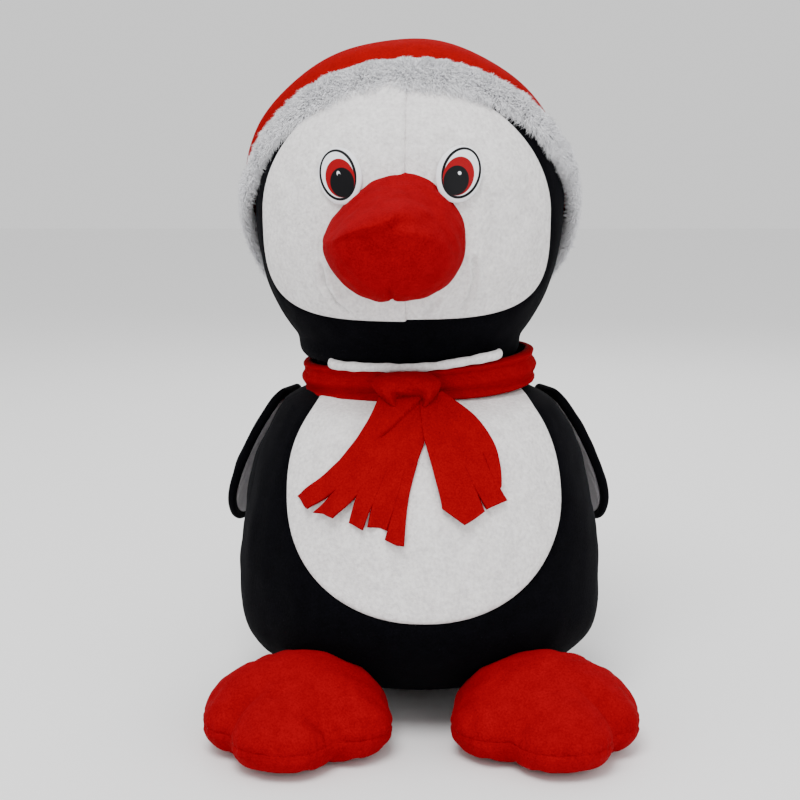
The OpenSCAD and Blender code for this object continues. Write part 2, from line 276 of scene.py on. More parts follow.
def tidy(obj, weld_mm=0.02):
    """Merges doubles, turns the faces outwards and shades them smooth."""
    only(obj)
    bpy.ops.object.mode_set(mode="EDIT")
    bpy.ops.mesh.select_all(action="SELECT")
    bpy.ops.mesh.remove_doubles(threshold=weld_mm * MM)
    bpy.ops.mesh.normals_make_consistent(inside=False)
    bpy.ops.object.mode_set(mode="OBJECT")
    bpy.ops.object.shade_smooth()


def thicken(obj, thickness_mm, offset=-1.0):
    modifier = obj.modifiers.new("thickness", "SOLIDIFY")
    modifier.thickness = thickness_mm * MM
    modifier.offset = offset
    apply_all(obj)


def smooth_levels(obj, levels):
    modifier = obj.modifiers.new("smooth", "SUBSURF")
    modifier.levels = levels
    modifier.render_levels = levels
    apply_all(obj)


def finish_piece(obj, material, slot, body, *nodes):
    obj.data.materials.clear()
    obj.data.materials.append(material)
    only(obj)
    bpy.ops.object.shade_smooth()
    if nodes:
        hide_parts(*nodes)
    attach(obj, body)
    return obj


def ball(name, segments, rings, place):
    """A UV sphere whose vertices are moved by place(azimuth, latitude), in millimetres."""
    bpy.ops.mesh.primitive_uv_sphere_add(segments=segments, ring_count=rings, radius=1)
    obj = start(name)
    co = read(obj) * MM
    azimuth = np.arctan2(co[:, 1], co[:, 0])
    latitude = np.arcsin(np.clip(co[:, 2], -1, 1))
    write(obj, place(azimuth, latitude))
    return obj


def patch(name, across, along, place):
    """A grid whose vertices are moved by place(u, v), with u and v from -1 to 1."""
    bpy.ops.mesh.primitive_grid_add(x_subdivisions=across, y_subdivisions=along, size=2)
    obj = start(name)
    co = read(obj) * MM
    write(obj, place(co[:, 0], co[:, 1]))
    return obj


def step(x):
    """Smooth rise from 0 to 1 as x goes from 0 to 1."""
    x = np.clip(x, 0, 1)
    return x * x * (3 - 2 * x)


def lumps(co, size_mm, seed, waves=7):
    """Soft, even lumpiness between about -1 and 1."""
    rng = np.random.default_rng(seed)
    total = np.zeros(len(co))
    for _ in range(waves):
        direction = rng.normal(size=3)
        direction *= 2 * math.pi / size_mm / np.linalg.norm(direction)
        total += np.sin(co @ direction + rng.uniform(0, 2 * math.pi))
    return total / math.sqrt(waves)


def rows(*columns):
    return np.stack(columns, 1)


def polar(reach, azimuth, z):
    """Points at a distance from the Z axis, in a direction and at a height."""
    return rows(reach * np.cos(azimuth), reach * np.sin(azimuth), z)


def sphere_direction(azimuth, latitude):
    return polar(np.cos(latitude), azimuth, np.sin(latitude))


def gauss(distance, width):
    """A bell of height 1 about zero."""
    return np.exp(-(distance / width) ** 2)


def unit(vectors):
    return vectors / np.linalg.norm(vectors, axis=1)[:, None]


def join(name, pieces):
    """Joins the pieces into the first one, which keeps the new name."""
    only(pieces[0])
    for piece in pieces:
        piece.select_set(True)
    bpy.ops.object.join()
    joined = bpy.context.object
    joined.name = name
    return joined


def reach_inside(inside, limit, count, rounds):
    """The distance at which inside(distance) stops being true, by halving the interval."""
    low, high = np.zeros(count), np.full(count, limit)
    for _ in range(rounds):
        half = (low + high) / 2
        within = inside(half)
        low, high = np.where(within, half, low), np.where(within, high, half)
    return low


def turn_z(co, angle):
    c, s = math.cos(angle), math.sin(angle)
    return rows(co[:, 0] * c - co[:, 1] * s, co[:, 0] * s + co[:, 1] * c, co[:, 2])


def turn_x(co, angle):
    c, s = math.cos(angle), math.sin(angle)
    return rows(co[:, 0], co[:, 1] * c - co[:, 2] * s, co[:, 1] * s + co[:, 2] * c)


def edge_distance(points, outline):
    """Distance of each 2D point from a closed outline."""
    a, b = outline, np.roll(outline, -1, 0)
    best = np.full(len(points), 1e9)
    for p, q in zip(a, b):
        d = q - p
        t = np.clip(((points - p) @ d) / max(d @ d, 1e-9), 0, 1)
        best = np.minimum(best, np.hypot(*(points - p - t[:, None] * d).T))
    return best


# ---------------------------------------------------------------- torso

SHOULDER_Z = 180.0
SHOULDER_SPAN = 13.0


def section_middle(z):
    """Where the leaned torso's middle lies at height z."""
    above = np.maximum(z - TORSO_Z, 0) * math.tan(TORSO_LEAN)
    return above + BASE_Y * (np.clip(1 - z / TORSO_Z, 0, 1)) ** 1.5


def torso_excess(x, y, z):
    """Negative inside the leaned, rounded torso."""
    c, s = math.cos(TORSO_LEAN), math.sin(TORSO_LEAN)
    across = y * c - (z - TORSO_Z) * s
    up = y * s + (z - TORSO_Z) * c
    close = np.where(up >= 0, TORSO_UP, TORSO_Z)
    room = np.maximum(1 - np.abs(up / close) ** 2.5, 0)
    return np.hypot(x, across) - TORSO_R * np.sqrt(room)


def torso_reach(azimuth, z):
    """Distance of the torso's surface from its middle."""
    middle = section_middle(z)

    def inside(reach):
        return torso_excess(reach * np.cos(azimuth), middle + reach * np.sin(azimuth), z) < 0

    reach = reach_inside(inside, 150.0, len(z), 22)
    rise = step((z - SHOULDER_Z) / SHOULDER_SPAN)
    return reach * (1 - rise) + NECK_R * rise


def torso_point(azimuth, z, proud=0.0):
    reach = torso_reach(azimuth, z) + proud
    return rows(reach * np.cos(azimuth), section_middle(z) + reach * np.sin(azimuth), z)


def torso_front(x, z, proud=0.0):
    """The point of the torso's front at x and height z."""
    azimuth = np.full(len(x), -math.pi / 2)
    for _ in range(8):
        reach = torso_reach(azimuth, z)
        azimuth = -math.pi / 2 + np.arcsin(np.clip(x / reach, -0.99, 0.99))
    return torso_point(azimuth, z, proud)


BELLY_X, BELLY_Z, BELLY_W, BELLY_UP, BELLY_DOWN = 2.0, 135.0, 81.5, 78.0, 63.0
BELLY_TOP = 190.0


def belly_width(z):
    close = np.where(z > BELLY_Z, BELLY_UP, BELLY_DOWN)
    return BELLY_W * np.maximum(1 - np.abs((z - BELLY_Z) / close) ** 2.2, 0) ** (1 / 2.2)


def belly_outline():
    angle = np.linspace(0, math.pi / 2, 24)
    z = BELLY_Z - BELLY_DOWN * np.cos(angle)
    z = np.concatenate([z, np.linspace(BELLY_Z + 3, BELLY_TOP + 8, 18)])
    w = belly_width(z)
    return np.concatenate([rows(BELLY_X + w, z), rows(BELLY_X - w, z)[::-1]])


UNDER_PANEL = 3.6          # how far the plush is drawn in where a white panel covers it
PANEL_THICK = 1.2


def ragged(along, seed):
    """Small uneven teeth of pile along a panel's edge, in millimetres."""
    return (0.30 * np.sin(along * 1.9 + seed) + 0.22 * np.sin(along * 3.3 + 2 * seed)
            + 0.18 * np.sin(along * 0.9 + 3 * seed))


def seam_dip(distance, depth, width):
    return -depth * gauss(distance, width)


def make_torso():
    outline = belly_outline()

    def place(azimuth, latitude):
        share = latitude / math.pi + 0.5
        base, top = 0.07, 0.95
        rise = np.clip((share - base) / (top - base), 0, 1)
        z = NECK_TOP * (1 - np.cos(math.pi * rise)) / 2
        co = torso_point(azimuth, z)
        middle = section_middle(z)
        # the bag is drawn together to a point at its base and its neck
        shrink = np.minimum(np.minimum(share / base, (1 - share) / (1 - top)), 1)
        fade = step((z - 8) / 25) * step((198 - z) / 15)
        front = co[:, 1] < middle
        from_panel = np.where(front, edge_distance(co[:, [0, 2]], outline), 99)
        under_panel = front & (np.abs(co[:, 0] - BELLY_X) < belly_width(z))
        under_panel &= z > BELLY_Z - BELLY_DOWN
        back_seam = np.abs(np.arctan2(np.cos(azimuth), np.sin(azimuth))) * TORSO_R
        side_seam = np.abs(np.arctan2(np.sin(azimuth - 0.25), np.abs(np.cos(azimuth)))) * TORSO_R
        relief = 0.7 * lumps(co, 60, 3) + 0.25 * lumps(co, 19, 4)
        relief = relief + seam_dip(from_panel, 0.9, 1.6)
        relief = relief - np.where(under_panel, UNDER_PANEL * step(from_panel / 3), 0)
        relief = relief + seam_dip(back_seam, 1.3, 1.5) + seam_dip(side_seam, 0.7, 1.4)
        out = relief * fade * shrink
        reach = (torso_reach(azimuth, z) + out) * shrink
        return rows(reach * np.cos(azimuth), middle + reach * np.sin(azimuth), z)

    torso = ball("torso_plush", 256, 190, place)
    tidy(torso)
    finish_piece(torso, BLACK, "black_plush", "torso", "torso_cover", "torso_fill")


def make_belly():
    outline = belly_outline()
    low = BELLY_Z - BELLY_DOWN + 0.4

    def place(u, v):
        rise = ((v + 1) / 2) ** 1.6
        z = low + (BELLY_TOP - low) * rise
        x = BELLY_X + (belly_width(z) + ragged(z, 1.0 + np.sign(u))) * np.sin(u * math.pi / 2)
        distance = edge_distance(rows(x, z), outline)
        distance = np.where(np.abs(x - BELLY_X) < belly_width(z), distance, 0)
        flat = torso_front(x, z)
        puff = -1.6 + 2.7 * (1 - np.exp(-distance / 1.3))
        puff = puff + 0.25 * lumps(flat, 33, 8) * step(distance / 12) + 0.5 * lumps(flat, 60, 3)
        return torso_front(x, z, puff)

    belly = patch("belly_fleece", 150, 120, place)
    thicken(belly, PANEL_THICK)
    tidy(belly)
    finish_piece(belly, WHITE, "white_fleece", "torso", "belly_panel")


# ---------------------------------------------------------------- head and face

FACE_MID, FACE_W, FACE_UP, FACE_DOWN = HEAD[2] - 4, 86.0, 76.0, 61.0


def head_reach(z):
    up = z - HEAD[2]
    ball_part = np.sqrt(np.maximum(HEAD_R ** 2 - np.maximum(up, 0) ** 2, 0))
    low_part = HEAD_R * np.sqrt(np.maximum(1 - (np.maximum(-up, 0) / HEAD_DOWN) ** 2.2, 0))
    chin = 8.5 * step((z - HEAD_BASE) / 1.6) * step((223 - z) / 15)
    return np.where(up > 0, ball_part, low_part + chin)


def head_normal(azimuth, z):
    """Outward direction of the head's surface."""
    slope = (head_reach(z - 0.5) - head_reach(z + 0.5))
    flat = rows(np.cos(azimuth), np.sin(azimuth), slope)
    return unit(flat)


def head_point(azimuth, z, proud=0.0):
    reach = head_reach(z)
    co = HEAD + polar(reach, azimuth, z - HEAD[2])
    return co + head_normal(azimuth, z) * np.reshape(proud, (-1, 1))


def head_front(x, z, proud=0.0):
    """The point of the head's front at x, counted from the face's own middle."""
    azimuth = -math.pi / 2 + np.arcsin(np.clip(x / np.maximum(head_reach(z), 1), -0.995, 0.995))
    return head_point(azimuth + FACE_YAW, z, proud)


def face_width(z):
    up = z > FACE_MID
    share = np.abs(z - FACE_MID) / np.where(up, FACE_UP, FACE_DOWN)
    power = np.where(up, 1.9, 4.0)
    return FACE_W * np.maximum(1 - share ** power, 0) ** (1 / power)


def face_outline():
    angle = np.linspace(-math.pi / 2, math.pi / 2, 70)
    z = FACE_MID + np.where(angle > 0, FACE_UP, FACE_DOWN) * np.sin(angle)
    w = face_width(z)
    return np.concatenate([rows(w, z), rows(-w, z)[::-1]])


def make_head():
    outline = face_outline()

    def place(azimuth, latitude):
        low = HEAD_BASE
        share = latitude / math.pi + 0.5
        base = 0.07
        up = HEAD[2] + HEAD_R * np.sin(np.maximum(latitude, 0))
        rise = np.clip((share - base) / (0.5 - base), 0, 1)
        down = low + (HEAD[2] - low) * np.sin(rise * math.pi / 2)
        z = np.where(latitude > 0, up, down)
        shrink = np.where(share < base, share / base, 1)
        flat = head_point(azimuth, z)
        local = turn_z(flat - HEAD, -FACE_YAW)
        ahead = local[:, 1] < 0
        distance = np.where(ahead, edge_distance(local[:, [0, 2]] + [0, HEAD[2]], outline), 99)
        relief = 0.5 * lumps(flat, 55, 11) + 0.2 * lumps(flat, 17, 12)
        relief = relief * step((z - 212) / 20) + seam_dip(distance, 0.9, 1.5)
        under = ahead & (np.abs(local[:, 0]) < face_width(z)) & (z > FACE_MID - FACE_DOWN)
        relief = relief - np.where(under, UNDER_PANEL * step(distance / 3), 0)
        # drawn in under the hat
        along = (flat - HAT) @ np.array([0, math.sin(HAT_TILT), math.cos(HAT_TILT)])
        relief = relief - 3.2 * step((along - 5) / 8)
        # chin seam down the middle, under the face
        relief = relief + np.where(ahead, seam_dip(local[:, 0], 1.1, 1.2), 0) * step((240 - z) / 6)
        drawn = HEAD + (flat - HEAD) * shrink[:, None]
        drawn[:, 2] = z
        return np.where((shrink < 1)[:, None], drawn, head_point(azimuth, z, relief))

    head = ball("head_plush", 240, 180, place)
    tidy(head)
    finish_piece(head, BLACK, "black_plush", "head", "head_cover", "head_fill")


BEAK_MID_Z = HEAD[2] - 18.0


def face_relief(x, z):
    """Puckers that the beak's seam pulls into the cloth, in millimetres."""
    out = np.zeros(len(x))
    # x, z along each fold, then its depth and width
    folds = [((-47, 269, -45, 258, -39, 248, -29, 240), 3.3, 1.5),
             ((39, 273, 40, 262, 37, 251, 30, 240), 3.0, 1.3),
             ((-1, 249, 2, 243, 7, 236), 2.4, 1.5),
             ((19, 251, 14, 245, 8, 240), 2.0, 1.7)]
    for path, depth, width in folds:
        ends = list(zip(path[0::2], path[1::2]))
        near, share = np.full(len(x), 1e3), np.zeros(len(x))
        for k, ((x0, z0), (x1, z1)) in enumerate(zip(ends, ends[1:])):
            d = np.array([x1 - x0, z1 - z0], float)
            t = np.clip(((x - x0) * d[0] + (z - z0) * d[1]) / (d @ d), 0, 1)
            away = np.hypot(x - x0 - t * d[0], z - z0 - t * d[1])
            share = np.where(away < near, (k + t) / (len(ends) - 1), share)
            near = np.minimum(near, away)
        fade = np.sin(np.clip(0.12 + 0.88 * share, 0, 1) * math.pi) ** 0.7
        out += depth * fade * (0.5 * gauss(near - 2 * width, width) - gauss(near, width))
    return out


def make_face(side):
    outline = face_outline()
    half = outline[outline[:, 0] * side >= -1e-6]
    seam = [[0, FACE_MID + FACE_UP], [0, FACE_MID - FACE_DOWN]]
    half = np.concatenate([half, seam[::side]])

    def place(u, v):
        along = (u + 1) / 2
        z = FACE_MID + np.where(v > 0, FACE_UP, FACE_DOWN) * np.sin(v * math.pi / 2) * 0.999
        x = side * (face_width(z) + ragged(z, 2.0) * 0.8) * along
        distance = edge_distance(rows(x, z), half)
        distance = np.where(np.abs(x) < face_width(z), distance, 0)
        flat = head_front(x, z)
        puff = -1.5 + 2.5 * (1 - np.exp(-distance / 1.1))
        calm = step(distance / 7)
        puff = puff + 0.35 * lumps(flat, 40, 21) * calm + face_relief(x, z) * calm
        return head_front(x, z, puff)

    tag = SIDES[side]
    face = patch(f"face_fleece_{tag}", 96, 150, place)
    thicken(face, PANEL_THICK)
    tidy(face)
    finish_piece(face, WHITE, "white_fleece", "head", f"face_{tag}")


def make_face_stitches():
    """Short stitches that show along the face's middle seam."""
    pieces = []
    top, bottom, pitch = FACE_MID + FACE_UP - 2, BEAK_MID_Z + 35, 3.1
    for i in range(int((top - bottom) / pitch)):
        z = top - pitch * (i + 0.5)
        spot = head_front(np.array([0.0]), np.array([z]), -0.1)[0]
        ahead = head_front(np.array([0.0]), np.array([z + 1.0]), -0.1)[0]
        bpy.ops.mesh.primitive_uv_sphere_add(segments=8, ring_count=6, radius=1)
        stitch = start("stitch")
        along = Vector(ahead - spot).normalized()
        co = read(stitch) * MM * [0.28, 0.28, 1.0]
        turn = np.array(along.to_track_quat("Z", "Y").to_matrix())
        write(stitch, co @ turn.T + spot)
        pieces.append(stitch)
    seam = join("face_seam_stitches", pieces)
    finish_piece(seam, THREAD, "white_fleece", "head")


def on_head(co, side_deg, rise_deg):
    """Local X right, Y up, Z outwards becomes a place on the head, turned by side and rise."""
    co = turn_x(co, math.radians(90 - rise_deg))
    return turn_z(co, math.radians(side_deg) + BEAK_YAW) + HEAD


# ---------------------------------------------------------------- beak

def make_beak():
    root, tip, half_w, half_h = 74.0, 146.0, 39.5, 37.2

    def place(azimuth, latitude):
        share = latitude / math.pi + 0.5
        back = 0.10
        rise = np.clip((share - back) / (1 - back), 0, 1)
        a = rise * math.pi / 2
        ca, sa = np.cos(azimuth), np.sin(azimuth)
        forward = np.sin(a)
        # the upper side slopes almost straight to the lip, the rest rounds over
        upper = np.maximum(sa, 0) ** 0.8
        slope = np.maximum(1 - forward ** (2 - 0.75 * upper), 0) ** (0.40 + 0.15 * upper)
        r = np.where(share < back, share / back, slope)
        out = root + (tip - root) * forward
        drawn_in = 1 + np.where(sa < 0, 0.035, 0.0) * np.abs(2 * sa * ca)
        x = r * half_w * ca * drawn_in * (1 + 0.02 * np.where(ca < 0, 1, 0))
        y = r * half_h * sa * drawn_in * np.where(sa > 0, 1.065, 1.0)
        # the blunt tip sits high and a little to the left
        y = y + 18.5 * forward ** 3
        x = x - 2.0 * forward ** 3
        x = x + 2.5 * np.maximum(sa, 0) - 2.6 * np.maximum(-ca, 0) * step((0.5 - sa) / 0.6)
        x = x - np.where(ca > 0, 3.0, -3.0) * (2 * np.maximum(sa, 0) * ca) ** 2
        co = rows(x, y, out)
        fore = step((out - 106) / 18)
        # a soft lip along the upper edge of the blunt front, and the fold under it
        arc = y - (22.5 + 0.18 * (x + 3) - 0.008 * (x + 3) ** 2) - 0.8 * np.sin(x * 0.22)
        lip = 2.2 * gauss(arc - 0.8, 3.0) - 1.8 * gauss(arc + 4.2, 3.2)
        lip = lip * fore * step((32 - np.abs(x + 3)) / 14)
        fold = -3.2 * gauss(y - 8.5, 6.5) * gauss(x + 1, 18.0) * fore
        fold = fold - 1.3 * gauss(y - 3.0 + 0.010 * x ** 2, 2.2) * gauss(x + 2, 12.0) * fore
        # the closing seam below, which pulls a notch into the lower edge
        seam = seam_dip(x + 2.0 - 0.05 * (y + 36), 1.5, 1.3) * step((0.9 - forward) / 0.25)
        notch = seam_dip(x + 1.0, 2.0, 3.0) * step((0.5 - forward) / 0.4)
        puff = lip + fold + np.where(sa < 0, seam + notch, 0)
        puff = puff + 0.5 * lumps(co, 40, 31) * step(forward / 0.4) + 0.25 * lumps(co, 11, 32)
        normal = rows(ca * np.cos(a) / half_w * 30, sa * np.cos(a) / half_h * 30, forward + 0.02)
        co = co + unit(normal) * (puff * np.where(share < back, 0, 1))[:, None]
        return on_head(co, 0, -11)

    beak = ball("beak_fleece", 190, 150, place)
    tidy(beak)
    finish_piece(beak, RED_FLEECE, "red_fleece", "head", "beak_cover", "beak_fill")


# ---------------------------------------------------------------- eyes

EYE_HALF_W, EYE_HALF_H = 13.2, 16.8


def printed_eye_and_painted_glint(side):
    """Glossy white plastic with a printed outline, red iris and black pupil, and a white glint
    painted into the colour as a highlight.
    """
    material = bpy.data.materials.new(f"printed_eye_and_painted_glint_{SIDES[side]}")
    material.use_nodes = True
    tree = material.node_tree
    shader = tree.nodes["Principled BSDF"]
    uv = tree.nodes.new("ShaderNodeUVMap")
    uv.uv_map = "print"

    def inside(cx, cy, rx, ry):
        """1 inside an ellipse given in millimetres from the disc's middle, with a soft edge."""
        mapping = tree.nodes.new("ShaderNodeMapping")
        mapping.vector_type = "TEXTURE"
        mapping.inputs["Location"].default_value = (0.5 + cx / 40, 0.5 + cy / 40, 0)
        mapping.inputs["Scale"].default_value = (rx / 40, ry / 40, 1)
        link(tree, uv, "UV", mapping, "Vector")
        length = tree.nodes.new("ShaderNodeVectorMath")
        length.operation = "LENGTH"
        link(tree, mapping, "Vector", length, 0)
        edge = tree.nodes.new("ShaderNodeMapRange")
        edge.inputs["From Min"].default_value = 1 + 0.08 / rx
        edge.inputs["From Max"].default_value = 1 - 0.08 / rx
        link(tree, length, "Value", edge, "Value")
        return edge

    def paint(under, colour, mask):
        mix = tree.nodes.new("ShaderNodeMix")
        mix.data_type = "RGBA"
        link(tree, mask, "Result", mix, "Factor")
        if isinstance(under, tuple):
            mix.inputs[6].default_value = (*under, 1)
        else:
            link(tree, under, 2, mix, 6)
        mix.inputs[7].default_value = (*colour, 1)
        return mix

    inward = -side
    white, black, red = (0.80, 0.80, 0.83), (0.004, 0.004, 0.005), (0.27, 0.0, 0.004)
    layer = paint(white, black, inside(-0.5 * inward, 0.7, 11.3, 15.1))
    layer = paint(layer, white, inside(-0.5 * inward, 0.7, 9.75, 13.55))
    layer = paint(layer, red, inside(0.4 * inward, -1.8, 8.8, 11.3))
    layer = paint(layer, black, inside(0.8 * inward, -4.7, 7.2, 8.5))
    # painted highlight: the glint is a white spot painted into the colour where the gloss reflects
    # the light, placed and sized differently on each eye
    glint_up, glint_half = (-0.2, 1.0) if side > 0 else (0.6, 1.7)
    layer = paint(layer, white, inside(0.6 * inward, glint_up, 1.0, glint_half))
    # painted highlight: on the left eye a black spot trims the lower end of the painted glint into
    # a hook
    if side < 0:
        layer = paint(layer, black, inside(0.6, -0.3, 0.9, 1.1))
    link(tree, layer, 2, shader, "Base Color")
    shader.inputs["Roughness"].default_value = 0.35
    shader.inputs["Specular IOR Level"].default_value = 0.12
    return material


def make_eye(side):
    rim, dome = 2.4, 2.6           # thickness of the disc's edge and rise of its dome
    flat = {}

    def place(azimuth, latitude):
        top = latitude > 0
        r = np.cos(latitude) ** np.where(top, 1.0, 0.25)
        up = rim + dome * np.sin(np.maximum(latitude, 0))
        z = np.where(top, up, rim * (1 + np.sin(latitude)) ** 0.7)
        x, y = EYE_HALF_W * r * np.cos(azimuth), EYE_HALF_H * r * np.sin(azimuth)
        flat["x"], flat["y"] = x, y
        co = rows(x, y, z + HEAD_R + 0.2)
        co = turn_z(co, math.radians(-side * 25))
        return on_head(co, 21.4 if side > 0 else -19.4, 11 if side > 0 else 10.3)

    tag = SIDES[side]
    eye = ball(f"eye_disc_{tag}", 72, 48, place)
    eye.data.uv_layers[0].name = "print"
    layer = eye.data.uv_layers["print"].data
    for loop in eye.data.loops:
        i = loop.vertex_index
        layer[loop.index].uv = (0.5 + flat["x"][i] / 40, 0.5 + flat["y"][i] / 40)
    finish_piece(eye, printed_eye_and_painted_glint(side), "eye_plastic", "head", f"eye_{tag}")


# ---------------------------------------------------------------- hat

def in_hat(co):
    """The hat's own frame, with Z along its axis, to the world."""
    return turn_x(co, -HAT_TILT) + HAT


def make_crown():
    inner = CROWN_R - 2.2

    def place(azimuth, latitude):
        outside = latitude >= -0.02
        lat = np.abs(latitude)
        direction = sphere_direction(azimuth, lat)
        gathers = 0.8 * np.sin(azimuth * 34 + 2 * np.sin(azimuth * 5)) * gauss(lat, 0.16)
        soft = 0.55 * lumps(direction * CROWN_R, 62, 41) * step(lat / 0.3)
        sag = 1.2 * gauss(lat - 0.35, 0.22) * (0.8 + 0.2 * np.sin(azimuth * 3 + 1))
        full = np.where(direction[:, 0] < 0, 2.8, -3.0) * direction[:, 0] ** 2 * step(lat / 0.12)
        reach = CROWN_R + gathers + soft + sag + full + 0.5 - 2.4 * (1 - step(lat / 0.32))
        return in_hat(direction * np.where(outside, reach, inner)[:, None])

    crown = ball("hat_cap", 240, 130, place)
    tidy(crown)
    finish_piece(crown, HAT_RED, "hat_fleece", "head", "hat_crown")


def fur_coat(name, roots, normals, comb, length_mm, width_mm, seed, curl=0.55):
    """Thin curved spikes, each a closed three-sided spike with one bend, on the given roots."""
    rng = np.random.default_rng(seed)
    n = len(roots)
    side = unit(np.cross(normals, rng.normal(size=(n, 3))))
    other = np.cross(normals, side)
    wild = side * rng.normal(0, curl, n)[:, None] + other * rng.normal(0, curl, n)[:, None]
    lean = comb + wild
    lean *= np.minimum(1, 1.15 / np.linalg.norm(lean, axis=1))[:, None]
    length = length_mm * rng.uniform(0.55, 1.2, n)
    width = width_mm * rng.uniform(0.7, 1.2, n)
    middle = roots + normals * (0.60 * length)[:, None] + lean * (0.22 * length)[:, None]
    tip = roots + normals * (0.88 * length)[:, None] + lean * (0.72 * length)[:, None]
    rings = []
    for centre, share in ((roots, 1.0), (middle, 0.62)):
        for k in range(3):
            angle = 2 * math.pi * k / 3
            corner = side * math.cos(angle) + other * math.sin(angle)
            rings.append(centre + corner * (width * share / 2)[:, None])
    verts = np.stack(rings + [tip], 1).reshape(-1, 3)
    one = [(0, 2, 1)]
    for k in range(3):
        j = (k + 1) % 3
        one += [(k, j, 3 + j), (k, 3 + j, 3 + k), (3 + k, 3 + j, 6)]
    faces = (np.arange(n)[:, None, None] * 7 + np.array(one)[None]).reshape(-1, 3)
    mesh = bpy.data.meshes.new(name)
    mesh.vertices.add(len(verts))
    mesh.vertices.foreach_set("co", (verts * MM).ravel())
    mesh.loops.add(len(faces) * 3)
    mesh.loops.foreach_set("vertex_index", faces.ravel())
    mesh.polygons.add(len(faces))
    mesh.polygons.foreach_set("loop_start", np.arange(len(faces)) * 3)
    mesh.update(calc_edges=True)
    mesh.validate()
    obj = bpy.data.objects.new(name, mesh)
    bpy.context.scene.collection.objects.link(obj)
    return obj


BRIM_HALF = 11.0           # half the fur band's width
BRIM_MID_R = CROWN_R - 0.8
BRIM_ALONG = 3.5           # how far its middle lies above the rim


def brim_surface(azimuth, roll, proud=0.0):
    """A point of the fur band's backing. roll goes round its section, from 0 outwards to pi/2 on
    the face's side."""
    thick = 3.2 + 0.3 * np.sin(azimuth * 5 + 1)
    wide = BRIM_HALF + 1.2 * np.sin(azimuth * 3 + 0.4) + 0.8 * np.sin(azimuth * 8)
    radial = (thick + proud) * np.cos(roll)
    along = BRIM_ALONG - (wide + proud) * np.sin(roll)
    waver = 0.8 * np.sin(azimuth * 7 + 0.5) + 0.5 * np.sin(azimuth * 13)
    ahead = -np.sin(azimuth)
    snug = np.where(np.cos(azimuth) < 0, 3.0 * step((ahead - 0.12) / 0.22),
                    1.6 * step((ahead - 0.35) / 0.3))
    snug = snug * step((0.92 - ahead) / 0.3)
    r = BRIM_MID_R - snug + radial
    return in_hat(polar(r, azimuth, along + waver * 0.6))


def make_brim():
    bpy.ops.mesh.primitive_torus_add(major_segments=200, minor_segments=28, major_radius=1,
                                     minor_radius=0.25)
    brim = start("fur_band")
    co = read(brim) * MM
    azimuth = np.arctan2(co[:, 1], co[:, 0])
    roll = np.arctan2(-co[:, 2], np.hypot(co[:, 0], co[:, 1]) - 1)
    write(brim, brim_surface(azimuth, roll))
    tidy(brim)
    # the band's backing carries the grey painted shade that shows between the strands
    finish_piece(brim, FUR_BACKING_PAINTED_SHADE, "white_fur", "head", "hat_brim")
    rng = np.random.default_rng(77)
    parts, each = 4, 19500
    for part in range(parts):
        azimuth = rng.uniform(0, 2 * math.pi, each)
        roll = rng.uniform(-1.75, 2.2, each)
        roots = brim_surface(azimuth, roll, -0.4)
        normals = unit(brim_surface(azimuth, roll, 0.6) - roots)
        around = unit(brim_surface(azimuth + 0.01, roll) - brim_surface(azimuth - 0.01, roll))
        rimward = unit(brim_surface(azimuth, roll + 0.02) - brim_surface(azimuth, roll - 0.02))
        tufts = 0.35 * np.sin(azimuth * 9 + 1.3) + 0.25 * np.sin(azimuth * 23)
        tufts = tufts + 0.3 * np.sin(azimuth * 61 + roll * 2)
        comb = around * tufts[:, None] + rimward * (0.75 + 0.2 * np.sin(azimuth * 37))[:, None]
        # longest over the face, shortest towards the crown and at the back
        pile = 4.3 + 5.0 * step((roll - 0.7) / 0.8) - 2.6 * step((-roll - 0.5) / 0.7)
        pile = pile + 0.6 * np.sin(azimuth * 47 + 5 * np.sin(azimuth * 5))
        pile = pile * (0.68 + 0.32 * step((-np.sin(azimuth) - 0.1) / 0.5))
        fur = fur_coat(f"fur_band_pile_{part + 1}", roots, normals, comb, pile, 0.6, 100 + part)
        finish_piece(fur, FUR, "white_fur", "head")


